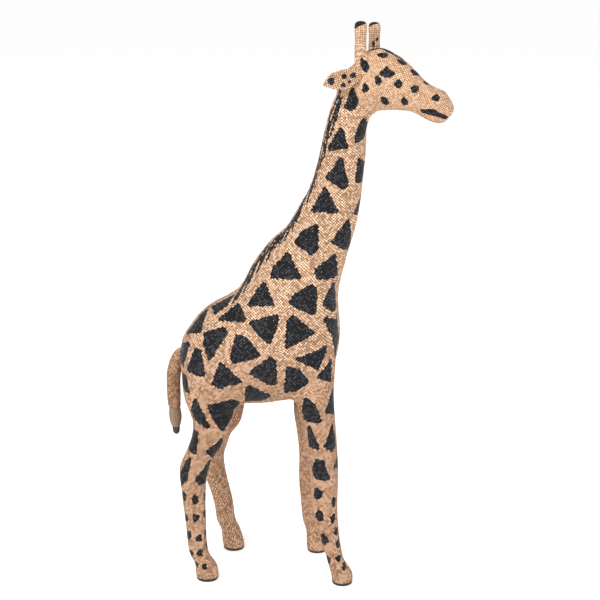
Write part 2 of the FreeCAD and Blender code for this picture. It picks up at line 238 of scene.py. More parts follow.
# The legs': level, half depth, half width, distance from the middle, right leg x, left leg x
HIND_LEG = [
    (284, 10, 10, 20, -92, -90), (277, 19, 17, 21, -93, -91), (258, 29, 23, 23, -95, -93),
    (235, 30.5, 25, 25, -96, -94), (212, 29, 24, 27, -96.5, -94), (198, 26, 22, 28, -96, -91),
    (186, 22.5, 20, 29, -94.5, -88.5), (170, 19.5, 18, 30, -96, -88), (155, 18, 16.5, 31, -101, -91.5),
    (142, 16, 15, 32.5, -108.2, -99), (130, 16, 14.5, 34, -113.3, -103),
    (118, 14.7, 13.5, 35, -115.3, -105.5), (104, 13, 12.5, 36, -115.4, -104),
    (88, 12, 11.5, 37, -115, -100.5), (68, 11, 11, 38, -113.6, -95), (46, 10.3, 10.5, 39, -112.6, -91.5),
    (34, 10.3, 10.5, 39.5, -111.2, -89.5), (26, 10.3, 10.5, 40, -108.2, -86), (18, 11, 11, 40, -103.5, -84),
    (9, 12, 11.5, 40, -102, -82.5), (3, 11.8, 11.5, 40, -101.5, -81.5),
]
FRONT_LEG = [
    (306, 9, 9, 15, 8, 8), (299, 17, 15, 16, 9, 9), (280, 22, 20, 18, 10, 10),
    (256, 24.5, 22.5, 20, 11.5, 11), (232, 24, 22.5, 22, 12, 10), (212, 21.2, 21, 24, 14.3, 9),
    (198, 19.2, 19.5, 26, 16.5, 8),
    (186, 18.1, 18.5, 27, 18.2, 7), (171, 17, 17.5, 28.5, 20.8, 6), (155, 16.2, 16.5, 30, 23, 7.5),
    (132, 15.5, 15, 32, 25, 9.5), (109, 14.5, 13.5, 34, 26, 9), (86, 13.5, 12.5, 36, 26.8, 8),
    (63, 12, 11.5, 38, 30, 8), (46, 10, 10.5, 39, 34, 7.5), (35, 8.8, 10, 39.5, 37, 8),
    (26, 8.9, 10, 40, 39.5, 11), (17, 10.7, 10.7, 40, 43.7, 13.5), (8, 11.3, 11.3, 40, 46.5, 14.5),
    (3, 11, 11.2, 40, 46.5, 14.5),
]
# The head's, before it is turned: crown x, crown z, jaw x, jaw z, half width
HEAD = [
    (39, 541, 39, 532, 5), (42, 548, 43, 522, 14), (50.5, 554, 52, 512, 19), (60, 564.5, 62, 510, 21.2),
    (70, 571.3, 71, 510.2, 21.6), (80, 573, 80, 511, 21.5), (92, 569.5, 93, 512, 20),
    (105, 561.5, 105, 512, 17.5), (118, 550, 116, 510.5, 15), (131, 538.5, 127, 505, 13.5),
    (143, 533, 136, 501.5, 13.5), (151, 526.5, 145, 501, 11.5),
    (155.5, 519, 153, 507, 6.5), (156.6, 515.5, 155, 510.5, 3),
]
# The horns': level, radius
HORN = [(549, 5.6), (560, 6.0), (573, 5.8), (584, 5.5), (591, 5.7), (595.5, 5.9), (598.4, 4.9),
        (599.7, 3.0), (600.1, 0.8)]
SIDES = ("right", "left")
GRID = 1.35                     # spacing that the skin is worked out at
PITCH = 2.15                    # from thread to thread of the jute
CLOTH = 1.2                     # the cloth's thickness with its glue
LEG_SEAM = 186.0                # level where the leg covers begin
FLOOR = 3.0                     # level of the covers' lower edge, on the soles
NECK_SEAM, COLLAR_SEAM = 11, 12  # stations where the body meets the neck and the neck's two covers meet
HEAD_TURN = math.radians(-14)
TURN_AT = 50.0                  # the upright line that the head is turned about
HEAD_FROM = 480.0               # nothing of the head is below this level
FRONT_SOLE, HIND_SOLE, SOLE_OUT = 46.5, -101.5, 40.0

# Two soles give the marking-out scale and point, since their places on the marking out are known.
sole_x, sole_y = {}, {}
for leg in ("front", "hind"):
    low, high = (np.array(v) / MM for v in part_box(f"hoof_sole_{leg}_right"))
    sole_x[leg], sole_y[leg] = (low + high)[:2] / 2
ALONG = (sole_x["front"] - sole_x["hind"]) / (FRONT_SOLE - HIND_SOLE)
ACROSS = -sole_y["front"] / SOLE_OUT
SHIFT = sole_x["front"] - FRONT_SOLE * ALONG


def eased(rows, count):
    """Natural cubic splines through every column of rows, spaced by chord, read at count even steps."""
    rows = np.array(rows, float)
    t = np.concatenate([[0.0], np.cumsum(np.sqrt((np.diff(rows, axis=0) ** 2).sum(1)))])
    h = np.diff(t)
    slope = np.diff(rows, axis=0) / h[:, None]
    lhs = np.eye(len(t))
    inner = np.arange(1, len(t) - 1)
    lhs[inner, inner - 1], lhs[inner, inner], lhs[inner, inner + 1] = h[:-1], 2 * (h[:-1] + h[1:]), h[1:]
    rhs = np.zeros_like(rows)
    rhs[1:-1] = 6 * np.diff(slope, axis=0)
    bend = np.linalg.solve(lhs, rhs)
    at = np.linspace(0, t[-1], count)
    k = np.clip(np.searchsorted(t, at) - 1, 0, len(h) - 1)
    b = ((at - t[k]) / h[k])[:, None]
    a = 1 - b
    line = a * rows[k] + b * rows[k + 1]
    line += ((a ** 3 - a) * bend[k] + (b ** 3 - b) * bend[k + 1]) * (h[k] ** 2 / 6)[:, None]
    return line, t / t[-1] * (count - 1)


class Fan:
    """A form whose oval sections stand like a fan across the side view.

    A point (x, y, z) belongs to the section whose line in the side view passes through (x, z).  On that
    section it lies u along the line and y across it, and it is on the surface where
    (|u| / half height) ** square + (|y| / half width) ** square = 1.
    """

    STEPS = 240
    CELL = 1.5      # grid spacing of the table that finds a point's section
    ANGLES = 40     # steps round a quarter of a section

    def __init__(self, rows, box, square):
        line, self.station = eased(rows, self.STEPS)
        top, under = line[:, 0:2], line[:, 2:4]
        self.centre = (top + under) / 2
        span = top - under
        self.tall = np.hypot(*span.T) / 2
        self.up = span / (2 * self.tall[:, None])
        self.wide, self.box, self.square = line[:, 4], box, square
        x, z = np.meshgrid(np.arange(box[0], box[1] + self.CELL, self.CELL),
                           np.arange(box[2], box[3] + self.CELL, self.CELL), indexing="ij")
        ahead = ((x[..., None] - self.centre[:, 0]) * self.up[:, 1]
                 - (z[..., None] - self.centre[:, 1]) * self.up[:, 0])
        passed = ahead < 0
        first = np.where(passed.any(-1), passed.argmax(-1), self.STEPS - 1)
        before = np.clip(first - 1, 0, None)
        a = np.take_along_axis(ahead, before[..., None], -1)[..., 0]
        b = np.take_along_axis(ahead, first[..., None], -1)[..., 0]
        share = np.clip(a / np.where(np.abs(a - b) < 1e-9, 1e-9, a - b), 0, 1)
        self.table = np.where(first == 0, 0.0, before + share)
        # the cloth's length round each section, from the middle of the side up to each angle
        angle = np.linspace(0, math.pi / 2, self.ANGLES)
        tall = self.tall[:, None] * np.sin(angle) ** (2 / square)
        wide = self.wide[:, None] * np.cos(angle) ** (2 / square)
        self.arc = np.cumsum(np.hypot(np.diff(tall, axis=1, prepend=tall[:, :1]),
                                      np.diff(wide, axis=1, prepend=wide[:, :1])), axis=1)

    def read(self, column, s):
        return np.interp(s, np.arange(self.STEPS), column)

    def place(self, x, z):
        """The section that (x, z) is on, the height u along its line, and the way past the form's ends."""
        fx = np.clip((x - self.box[0]) / self.CELL, 0, self.table.shape[0] - 1.001)
        fz = np.clip((z - self.box[2]) / self.CELL, 0, self.table.shape[1] - 1.001)
        i, j = fx.astype(int), fz.astype(int)
        a, b, t = fx - i, fz - j, self.table
        s = ((1 - a) * (1 - b) * t[i, j] + a * (1 - b) * t[i + 1, j]
             + (1 - a) * b * t[i, j + 1] + a * b * t[i + 1, j + 1])
        x, z = x - self.read(self.centre[:, 0], s), z - self.read(self.centre[:, 1], s)
        ux, uz = self.read(self.up[:, 0], s), self.read(self.up[:, 1], s)
        past = np.where((s < 0.5) | (s > self.STEPS - 1.5), x * uz - z * ux, 0.0)
        return s, x * ux + z * uz, past

    def distance(self, x, y, z):
        s, u, past = self.place(x, z)
        tall, wide, n = self.read(self.tall, s), self.read(self.wide, s), self.square
        a, b = np.abs(u) / tall, np.abs(y) / wide
        q = np.maximum(a ** n + b ** n, 1e-6) ** (1 / n)
        slope = q ** (1 - n) * np.hypot(a ** (n - 1) / tall, b ** (n - 1) / wide)
        d = (q - 1) / np.maximum(slope, 0.5 / np.maximum(tall, wide))
        ends = [(x - self.centre[k, 0]) * self.up[k, 1] - (z - self.centre[k, 1]) * self.up[k, 0]
                for k in (0, -1)]
        return np.maximum(np.maximum(d, -ends[0]), ends[1])

    def flat(self, s, length, past=0.0):
        """The place on the flat cut of the point on section s, length of cloth above the side's middle."""
        ux, uz = self.read(self.up[:, 0], s), self.read(self.up[:, 1], s)
        return (self.read(self.centre[:, 0], s) + ux * length + uz * past,
                self.read(self.centre[:, 1], s) + uz * length - ux * past)

    def unrolled(self, x, y, z):
        """The point's place on the side panel's flat cut.

        The cut is the side view with every section unrolled from the middle of the side, so that a point
        with a length L of cloth between it and the middle lies L along the section's line.
        """
        s, u, past = self.place(x, z)
        half = self.square / 2
        angle = np.arctan2((np.abs(u) / self.read(self.tall, s)) ** half,
                           (np.abs(y) / self.read(self.wide, s)) ** half)
        last = self.ANGLES - 1
        column = np.clip(angle / (math.pi / 2) * last, 0, last - 0.001)
        i, j = np.clip(s.astype(int), 0, self.STEPS - 2), column.astype(int)
        a, b, arc = s - i, column - j, self.arc
        length = ((1 - a) * ((1 - b) * arc[i, j] + b * arc[i, j + 1])
                  + a * ((1 - b) * arc[i + 1, j] + b * arc[i + 1, j + 1]))
        return self.flat(s, length * np.sign(u), past)


class Leg:
    """A leg of level oval sections: at height z it is an ellipse about a centre that shifts with z."""

    def __init__(self, rows, side):
        line = eased(rows, 300)[0][::-1]
        self.z, self.deep, self.wide = line[:, 0], line[:, 1], line[:, 2]
        self.out = -1 if side == "right" else 1
        self.y = line[:, 3] * self.out
        self.x = line[:, 4 if side == "right" else 5]

    def oval(self, z):
        return (np.interp(z, self.z, column) for column in (self.x, self.y, self.deep, self.wide))

    def distance(self, x, y, z):
        cx, cy, deep, wide = self.oval(z)
        a, b = (x - cx) / deep, (y - cy) / wide
        q = np.maximum(np.hypot(a, b), 1e-4)
        d = (q - 1) * q / np.maximum(np.hypot(a / deep, b / wide), 1e-4)
        return np.where(z > self.z[-1], np.hypot(np.maximum(d, 0), z - self.z[-1]), d)

    def unrolled(self, x, y, z, facing=None):
        """The flat cut: the height, and the cloth's length round the leg from the middle of its outer side.

        Angles are counted on past half a turn where facing, the angle of the face's middle, is near it.
        """
        cx, cy, deep, wide = self.oval(z)
        angle = np.arctan2((x - cx) / deep, (y - cy) * self.out / wide)
        if facing is not None:
            angle = angle + 2 * math.pi * np.round((facing - angle) / (2 * math.pi))
        return cx + angle * (deep + wide) / 2, z, angle


trunk = Fan(TRUNK, (-165, 110, 170, 560), 2.2)
skull = Fan(HEAD, (20, 175, 485, 590), 2.1)
legs = {(name, side): Leg(rows, side)
        for name, rows in (("hind", HIND_LEG), ("front", FRONT_LEG)) for side in SIDES}
horn_line = eased(HORN, 80)[0]
horn_at = {"right": (63.8, -15.5, 0.0), "left": (69.7, 15.5, 2.5)}


def to_head(x, y):
    """The point in the head's own frame, before the head was turned."""
    c, s = math.cos(HEAD_TURN), math.sin(HEAD_TURN)
    return TURN_AT + (x - TURN_AT) * c + y * s, y * c - (x - TURN_AT) * s


def joined(a, b, ease):
    """The smaller of two distances, with the hollow between them filled over the width ease."""
    h = np.maximum(ease - np.abs(a - b), 0) / ease
    return np.minimum(a, b) - h * h * ease / 4


def near(x, y, z, at, radius):
    """1 at the point at, falling smoothly to 0 a radius away."""
    gap = ((x - at[0]) ** 2 + (y - at[1]) ** 2 + (z - at[2]) ** 2) / radius ** 2
    return np.maximum(1 - gap, 0) ** 2


def skull_distance(x, y, z):
    """The head in its own frame: the fan of sections with brows and nose wings raised, and the eye hollows
    and the mouth drawn in."""
    d = skull.distance(x, y, z)
    side = np.abs(y)
    d = d - 2.6 * near(x, side, z, (98, 15, 563), 11) - 1.5 * near(x, side, z, (146, 8, 530), 9)
    d = d + 1.8 * near(x, side, z, (113, 17, 548), 13) + 1.2 * near(x, side, z, (138, 13, 524.5), 5)
    lips = np.abs(z - (509.5 - 0.1 * (x - 127))) / 2.2
    return d + 1.5 * np.maximum(1 - lips, 0) * np.clip((x - 120) / 6, 0, 1)


def horn_distance(x, y, z, side):
    hx, hy, drop = horn_at[side]
    d = np.hypot(x - hx, y - hy) - np.interp(z + drop, horn_line[:, 0], horn_line[:, 1])
    return np.maximum(np.maximum(d, z + drop - HORN[-1][0]), HORN[0][0] - z - drop)


def form(x, y, z):
    """Distance outside the covered form, about: the trunk, the legs run into it, then head and horns."""
    d = trunk.distance(x, y, z)
    for leg in legs.values():
        d = joined(d, leg.distance(x, y, z), 6 + 10 * np.clip((225 - z) / 30, 0, 1))
    d = np.maximum(d, FLOOR - z)
    up = z > HEAD_FROM
    hx, hy = to_head(x[up], y[up])
    top = joined(d[up], skull_distance(hx, hy, z[up]), 10)
    for side in SIDES:
        top = joined(top, horn_distance(hx, hy, z[up], side), 5)
    d[up] = top
    return d


def skin(box):
    """The surface where form() is 0, as points and four-sided faces.

    Each grid cell that the surface passes through gets one point, at the mean of the places where the
    surface crosses the cell's edges.  Each grid edge that crosses the surface joins the four cells round
    it.  A grid four times as coarse shows first where the fine one is needed.
    """
    axes = [np.arange(box[i], box[i + 3], GRID) for i in range(3)]
    rough = [np.arange(v[0], v[-1] + 4 * GRID, 4 * GRID) for v in axes]
    nearest = np.ix_(*(np.minimum((np.arange(len(v)) + 2) // 4, len(r) - 1) for v, r in zip(axes, rough)))
    x, y, z = np.meshgrid(*rough, indexing="ij")
    coarse = form(x.ravel(), y.ravel(), z.ravel()).reshape(x.shape)
    d = coarse[nearest]
    fine = np.nonzero(np.abs(d) < 7.5 * GRID)
    d[fine] = form(*(v[i] for v, i in zip(axes, fine)))
    shape = np.array(d.shape)
    total, hits, edges = np.zeros((*(shape - 1), 3)), np.zeros(shape - 1), []
    for axis in range(3):
        lead, lag = [slice(None)] * 3, [slice(None)] * 3
        lead[axis], lag[axis] = slice(1, None), slice(None, -1)
        a, b = d[tuple(lag)], d[tuple(lead)]
        cross = np.argwhere((a < 0) != (b < 0))
        a, b = a[tuple(cross.T)], b[tuple(cross.T)]
        at = cross.astype(float)
        at[:, axis] += a / (a - b)
        one, two = (v for v in range(3) if v != axis)
        cells = []
        for p, q in ((0, 0), (1, 0), (1, 1), (0, 1)):
            cell = cross.copy()
            cell[:, one] -= p
            cell[:, two] -= q
            np.add.at(total, tuple(cell.T), at)
            np.add.at(hits, tuple(cell.T), 1)
            cells.append(cell)
        edges.append((cells, (a < 0) == (axis != 1)))
    used = hits > 0
    number = np.full(shape - 1, -1)
    number[used] = np.arange(used.sum())
    rings = []
    for cells, ahead in edges:
        ring = np.stack([number[tuple(cell.T)] for cell in cells], 1)
        ring[~ahead] = ring[~ahead][:, ::-1]
        rings.append(ring)
    return total[used] / hits[used][:, None] * GRID + [v[0] for v in axes], np.concatenate(rings)


def slope(f, p):
    """The way that f rises fastest at the points p."""
    reach = 0.4
    return np.stack([(f(*(p + v).T) - f(*(p - v).T)) / (2 * reach) for v in np.eye(3) * reach], 1)


def settle(p):
    """The points moved onto the form's surface, straight up or down its slope."""
    way = slope(form, p)
    p = p - np.clip(form(*p.T), -1, 1)[:, None] * way / np.maximum((way ** 2).sum(1), 0.25)[:, None]
    p[:, 2] = np.maximum(p[:, 2], FLOOR)
    return p


points, faces = skin((-140.0, -58.5, 1.7, 162.0, 60.0, 604.0))
pairs = np.concatenate([faces[:, [0, 1]], faces[:, [1, 2]], faces[:, [2, 3]], faces[:, [3, 0]]])
for _ in range(3):
    # each point goes halfway to the middle of its neighbours, then back onto the surface
    middle = np.stack([np.bincount(pairs[:, 0], points[pairs[:, 1], i], len(points)) for i in range(3)], 1)
    middle /= np.bincount(pairs[:, 0], minlength=len(points))[:, None]
    points = settle((points + middle) / 2)
normals = slope(form, points)
normals /= np.linalg.norm(normals, axis=1)[:, None]


def beyond(station):
    """How far a point is past the plane that the trunk's station stands in."""
    s = trunk.station[station]
    at = [trunk.read(trunk.centre[:, i], s) for i in (0, 1)]
    up = [trunk.read(trunk.up[:, i], s) for i in (0, 1)]
    size = math.hypot(*up)
    return lambda x, y, z: ((x - at[0]) * up[1] - (z - at[1]) * up[0]) / size


def into_head(x, y, z):
    """Positive where the head's form stands out of the neck's."""
    high = z > HEAD_FROM
    out = np.full(len(x), -50.0)
    hx, hy = to_head(x[high], y[high])
    out[high] = trunk.distance(x[high], y[high], z[high]) - skull_distance(hx, hy, z[high])
    return out


def up_horn(side):
    """Positive above the seam round a horn's foot."""
    hx, hy, drop = horn_at[side]

    def height(x, y, z):
        px, py = to_head(x, y)
        return np.where(np.hypot(px - hx, py - hy) < 15, z + drop - 575.5, -20.0)
    return height


# Each seam cuts what the ones before it left: where its height is positive, the cloth is another piece.
seams = {
    "leg": lambda x, y, z: LEG_SEAM - z,
    "neck": beyond(NECK_SEAM), "collar": beyond(COLLAR_SEAM), "head": into_head,
    "horn_right": up_horn("right"), "horn_left": up_horn("left"), "middle": lambda x, y, z: y,
}
centres = points[faces].mean(1)
over = {name: height(*centres.T) > 0 for name, height in seams.items()}
over["horn_right"] &= centres[:, 2] > 540
over["horn_left"] &= centres[:, 2] > 540
horns = over["horn_right"] | over["horn_left"]
over["head"] |= horns
over["collar"] &= over["neck"]
home = {"leg": np.ones(len(faces), bool), "neck": ~over["leg"], "collar": over["neck"] & ~over["head"],
        "head": over["collar"], "horn_right": over["head"], "horn_left": over["head"],
        "middle": ~over["leg"] & ~over["neck"]}
for name, height in seams.items():
    # the points on the seam slide along the surface until they lie on it exactly
    mine = [np.bincount(faces[home[name] & (over[name] == side)].ravel(), minlength=len(points)) > 0
            for side in (False, True)]
    on = np.nonzero(mine[0] & mine[1])[0]
    for _ in range(3):
        p, n = points[on], normals[on]
        way = slope(height, p)
        way -= n * (way * n).sum(1)[:, None]
        move = height(*p.T)[:, None] * way / np.maximum((way ** 2).sum(1), 0.1)[:, None]
        points[on] = p - np.clip(move, -GRID, GRID)


def apart(flat, outline):
    """How far each flat point is outside a closed outline, with minus inside: the distance to its nearest
    side, signed by how many sides a line from the point crosses."""
    a = np.array(outline, float)
    b = np.roll(a, -1, axis=0)
    p = flat[:, None]
    along = b - a
    share = np.clip(((p - a) * along).sum(-1) / (along ** 2).sum(-1), 0, 1)
    gap = np.linalg.norm(p - a - share[..., None] * along, axis=-1).min(1)
    level = (a[:, 1] > p[..., 1]) != (b[:, 1] > p[..., 1])
    rise = np.where(np.abs(along[:, 1]) < 1e-9, 1e-9, along[:, 1])
    crossed = level & (p[..., 0] < a[:, 0] + (p[..., 1] - a[:, 1]) * along[:, 0] / rise)
    return gap * np.where(crossed.sum(1) % 2, -1, 1)


BARE = 9.0                      # the distance from paint that is given where there is none near
BRUSH = 3.2                     # radius of the round brush
BRUSH_SHARE = 0.34              # of a small patch's reach that a smaller brush's radius is
SWELL = 0.8                     # of its radius that the brush spreads the paint outwards by


def painted(flat, outlines):
    """How far each flat point is outside the painted patches, up to BARE.

    A round brush fills a patch, so its corners are rounded by the brush and its sides swell: the outline is
    drawn in at its corners by the brush's radius, and the distance from it is reduced by SWELL times that.
    """
    out = np.full(len(flat), BARE)
    for outline in outlines:
        arm = np.array(outline, float) - np.mean(outline, 0)
        reach = np.linalg.norm(arm, axis=1)
        brush = min(BRUSH_SHARE * reach.min(), BRUSH)
        inner = np.mean(outline, 0) + arm * (1 - brush / reach)[:, None]
        close = (np.abs(flat - np.mean(outline, 0)) < np.abs(arm).max(0) + 7).all(1)
        if close.any():
            out[close] = np.minimum(out[close], apart(flat[close], inner) - brush * SWELL)
    return out


def spot(x, z, wide, tall, tilt=0.0):
    """A brushed spot's outline: an oval, a little squared and uneven, turned by tilt degrees."""
    angle = np.arange(12) * math.pi / 6
    r = 1 + 0.08 * np.sin(3 * angle + x) + 0.05 * np.sin(5 * angle + z)
    c, s = math.cos(math.radians(tilt)), math.sin(math.radians(tilt))
    u, v = r * np.cos(angle) * wide / 2, r * np.sin(angle) * tall / 2
    return np.stack([x + u * c - v * s, z + u * s + v * c], 1)


def stroke(start, end, wide):
    """A brush stroke's outline: full where it starts, drawn out to a point where the brush lifts."""
    a, b = np.array(start, float), np.array(end, float)
    way = (b - a) / np.linalg.norm(b - a)
    side = np.array([-way[1], way[0]]) * wide / 2
    return np.stack([a + side * 0.6, a + (b - a) * 0.3 + side, b + side * 0.25, b - side * 0.25,
                     a + (b - a) * 0.4 - side, a - side * 0.7])


def jute(name, tone, gaps, lively=1.0):
    """Plain-woven jute painted in patches.  gaps is how dark it is between the threads, and lively how much
    the threads differ.

    The UV map counts threads both ways.  Across each thread the height is |sin|, and along it the
    thread rises and falls as it goes over and under, so the higher of the two threads shows.  Paint lies
    where the attribute "paint" is below 0, and its edge follows the threads, since each crossing takes
    the brush in its own way.
    """
    t = Tree(name)
    uv = t.add("ShaderNodeUVMap", {"uv_map": "threads"})
    sway = t.add("ShaderNodeTexNoise", {"noise_dimensions": "2D"}, out=1, Vector=uv, Scale=0.11, Detail=2.0)
    moved = t.vector("ADD", uv, t.vector("MULTIPLY", t.vector("SUBTRACT", sway, (0.5, 0.5, 0.5)),
                                         (2.2, 2.2, 0.0)))
    part = t.add("ShaderNodeSeparateXYZ", Vector=moved)
    p, q = part, Sock(t.tree, part.out.node.outputs[1])
    sp, sq = (p * math.pi).math("SINE"), (q * math.pi).math("SINE")
    ap, aq = sp.math("ABSOLUTE"), sq.math("ABSOLUTE")
    warp = ap * (0.66 + 0.34 * (sp.math("SIGN") * sq))
    weft = aq * (0.66 - 0.34 * (sq.math("SIGN") * sp))
    height = warp.math("MAXIMUM", weft)
    top = warp.math("GREATER_THAN", weft)
    warp_id, weft_id = p.math("FLOOR"), q.math("FLOOR")

    def thread(number, along, seed):
        """Tone along one set of threads: each has its own, and it drifts as the yarn thickens and thins."""
        own = t.add("ShaderNodeTexWhiteNoise", {"noise_dimensions": "1D"}, W=number + seed)
        place = t.add("ShaderNodeCombineXYZ", X=number * 3.7 + seed, Y=along * 0.16)
        slub = t.add("ShaderNodeTexNoise", {"noise_dimensions": "2D"}, Vector=place, Scale=1.0, Detail=3.0)
        return own * 0.25 + slub * 0.75

    tone_w, tone_f = thread(warp_id, q, 11.3), thread(weft_id, p, 47.9)
    yarn = tone_f + top * (tone_w - tone_f)
    cell = t.add("ShaderNodeTexWhiteNoise", {"noise_dimensions": "2D"},
                 Vector=t.add("ShaderNodeCombineXYZ", X=warp_id, Y=weft_id))
    fibre = t.add("ShaderNodeTexNoise", Vector=t.where(), Scale=2200.0, Detail=2.0)
    patchy = t.add("ShaderNodeTexNoise", Vector=t.where(), Scale=30.0, Detail=3.0)
    light = (cell * 0.6 + yarn * 0.55 + fibre * 0.3 + patchy * 0.2) / 1.55
    dark, mid, pale, shade = (tuple(c ** p * k for c in tone) for k, p in (
        (1 - 0.44 * lively, 1.12), (1.0, 1.0), (1 + 0.42 * lively, 0.85), (0.2, 1.25)))
    cloth = t.add("ShaderNodeValToRGB", {"stops": ((0.32, dark), (0.5, mid), (0.68, pale))}, Fac=light)
    cloth = t.mix((1.0 - height.step(0.3, 0.82)) * gaps, cloth, shade)
    # painted shade: the legs are darker and greyer up to the hocks and knees, for the shade under the body
    level = Sock(t.tree, t.add("ShaderNodeSeparateXYZ", Vector=t.where()).out.node.outputs[2])
    leg_shade = t.mix(level.step(0.19, 0.30), (0.83, 0.79, 0.76), (1.0, 1.0, 1.0))
    cloth = t.vector("MULTIPLY", cloth, leg_shade)
    attribute = t.add("ShaderNodeAttribute", {"attribute_name": "paint"}, out=2)
    ragged = t.add("ShaderNodeTexNoise", Vector=t.where(), Scale=420.0, Detail=3.0)
    edge = attribute + ((cell - 0.5) * 1.1 + (ragged - 0.5) * 2.0) * lively
    paint = 1.0 - edge.step(-0.35, 0.35)
    worn = (cell * 0.55 + ragged * 0.9 + attribute * 0.045).step(0.98, 1.12) * 0.5
    paint = paint * (1.0 - worn)
    # painted highlight: the tops of the threads under the black paint are lit a bluish grey
    thread_highlight = height.step(0.6, 1.0) * (cell * 1.5 + ragged * 0.6 + patchy * 0.4 - 1.05)
    ink_and_highlight = t.mix(thread_highlight, (0.006, 0.0055, 0.0065), (0.13, 0.135, 0.155))
    colour = t.mix(paint, cloth, ink_and_highlight)
    rough = 0.95 - paint * (0.5 - fibre * 0.15)
    return t.finish(colour, rough, height + fibre * 0.2 + yarn * 0.2, 0.0006, Specular_IOR_Level=0.14)


painted_jute = jute("painted_jute", (0.60, 0.372, 0.235), 0.95)


def cover(name, where, unrolled, turn, outlines, material, lips=(), pitch=PITCH):
    """A piece of the skin given the cloth's thickness inwards, with its thread count and its paint.

    unrolled(p, middle) takes the corners of the faces, and the middles of those faces, to the flat cut.
    The cloth stands a little unevenly on the skin, by a sum of slow waves, and is raised along its lips,
    the seams where it laps over another piece.
    """
    mine = faces[where]
    used, index = np.unique(mine, return_inverse=True)
    index = index.reshape(mine.shape)
    place, out = points[used].copy(), normals[used]
    slow = sum(np.sin(place @ np.array(k) / w + i) for i, (k, w) in enumerate(
        (((1, 0.4, 0.3), 9.0), ((-0.3, 1, 0.5), 7.0), ((0.2, -0.5, 1), 11.0), ((0.8, 0.7, -0.6), 5.0))))
    place += out * (0.28 + 0.09 * slow)[:, None]
    lip_height, lip_width = 0.55, 2.6
    for lip in lips:
        raised = np.maximum(1 - np.abs(seams[lip](*points[used].T)) / lip_width, 0)
        place += out * (lip_height * raised)[:, None]
    place = np.stack([place[:, 0] * ALONG + SHIFT, place[:, 1] * ACROSS, place[:, 2]], 1)
    mesh = bpy.data.meshes.new(name)
    mesh.from_pydata((place * MM).tolist(), [], index.tolist())
    corners = points[mine.ravel()]
    middle = np.repeat(points[mine].mean(1), 4, axis=0)
    flat = unrolled(corners, middle)
    c, s = math.cos(math.radians(turn)) / pitch, math.sin(math.radians(turn)) / pitch
    count = np.stack([flat[:, 0] * c + flat[:, 1] * s, flat[:, 1] * c - flat[:, 0] * s], 1)
    mesh.uv_layers.new(name="threads").data.foreach_set("uv", count.astype(np.float32).ravel())
    attribute = mesh.attributes.new("paint", "FLOAT", "CORNER")
    attribute.data.foreach_set("value", outlines(flat, corners).astype(np.float32))
    mesh.shade_smooth()
    mesh.materials.append(material)
    piece = bpy.data.objects.new(name, mesh)
    bpy.context.scene.collection.objects.link(piece)
    wall = piece.modifiers.new("cloth", "SOLIDIFY")
    wall.thickness, wall.offset = CLOTH * MM, -1.0
    return piece


# Each patch of the body, the legs and the neck is given by its corners on the side panel's flat cut, in
# millimetres like the stations.  Below the hocks and knees the patches turn into brushed spots: x, z, width
# and height.
BODY_PATCHES = [
    [(-38, 339), (-25, 314), (-55, 313)], [(13, 336), (18, 331), (17, 303), (13, 303), (-12, 316), (-7, 325)],
    [(35, 331), (40, 296), (24, 310), (25, 320)], [(-73, 335), (-77, 316), (-91, 304), (-96, 319)],
    [(-65, 318), (-55, 297), (-86, 297)], [(-101, 316), (-105, 279), (-123, 277)],
    [(-22, 305), (-20, 301), (-31, 272), (-53, 295)], [(-7, 305), (16, 283), (-14, 268), (-12, 300)],
    [(26, 299), (40, 288), (46, 250)],
    [(-101, 282), (-78, 290), (-74, 285), (-80, 273), (-94, 253), (-101, 267)],
    [(-65, 283), (-55, 282), (-39, 261), (-69, 251), (-72, 255)],
    [(-134, 262), (-116, 268), (-118, 260), (-128, 240), (-136, 246)],
    [(-108, 266), (-104, 265), (-99, 235), (-119, 238)],
    [(-28, 261), (-24, 256), (-24, 225), (-31, 225), (-52, 241), (-49, 246)],
    [(28, 269), (29, 266), (19, 243), (-4, 256), (11, 262)], [(-82, 253), (-59, 230), (-85, 222), (-93, 228)],
    [(-13, 249), (1, 245), (11, 231), (-15, 210)], [(36, 253), (35, 227), (18, 235)],
    [(-53, 227), (-29, 208), (-40, 196), (-58, 196), (-57, 223)],
    [(-134, 234), (-122, 235), (-116, 215), (-122, 214), (-134, 222)],
]
LEG_PATCHES = [
    # hind
    [(-109, 212), (-95, 177), (-113, 184), (-118, 195)],
    [(-97, 205), (-71, 210), (-64, 202), (-68, 184), (-82, 172), (-94, 191)],
    [(-117, 174), (-109, 173), (-111, 146), (-124, 150)], [(-82, 165), (-80, 152), (-87, 136), (-101, 151)],
    [(-117, 144), (-119, 117), (-134, 106), (-133, 118)], [(-93, 140), (-100, 111), (-109, 112), (-113, 119)],
    # front
    [(6, 214), (17, 207), (24, 186), (5, 186), (-1, 198)], [(40, 220), (48, 189), (27, 195), (33, 210)],
    [(9, 182), (22, 156), (8, 156)], [(37, 183), (43, 156), (35, 151), (26, 159)],
    [(19, 147), (26, 144), (33, 121), (17, 121), (12, 131)], [(46, 145), (48, 131), (37, 134)],
]
NECK_PATCHES = [
    [(54.5, 535), (58.5, 522), (56, 514), (50, 510), (43.5, 514), (48, 524)],
    [(65, 505), (76, 496), (71, 483), (55, 478), (58, 498)],
    [(41, 495), (49, 474), (26, 471)], [(41, 466), (49, 433), (45, 431), (24, 444), (32, 454)],
    [(60, 463), (73, 457), (69, 434), (57, 436)], [(25, 435), (39, 408), (10, 409)],
    [(73, 420), (64, 396), (56, 402)], [(18, 397), (19, 369), (13, 364), (-8, 379), (1, 390)],
    [(49, 400), (53, 389), (57, 358), (31, 377)], [(-13, 369), (2, 341), (-32, 342), (-31, 352)],
    [(37, 364), (40, 336), (16, 340), (14, 350)],
]
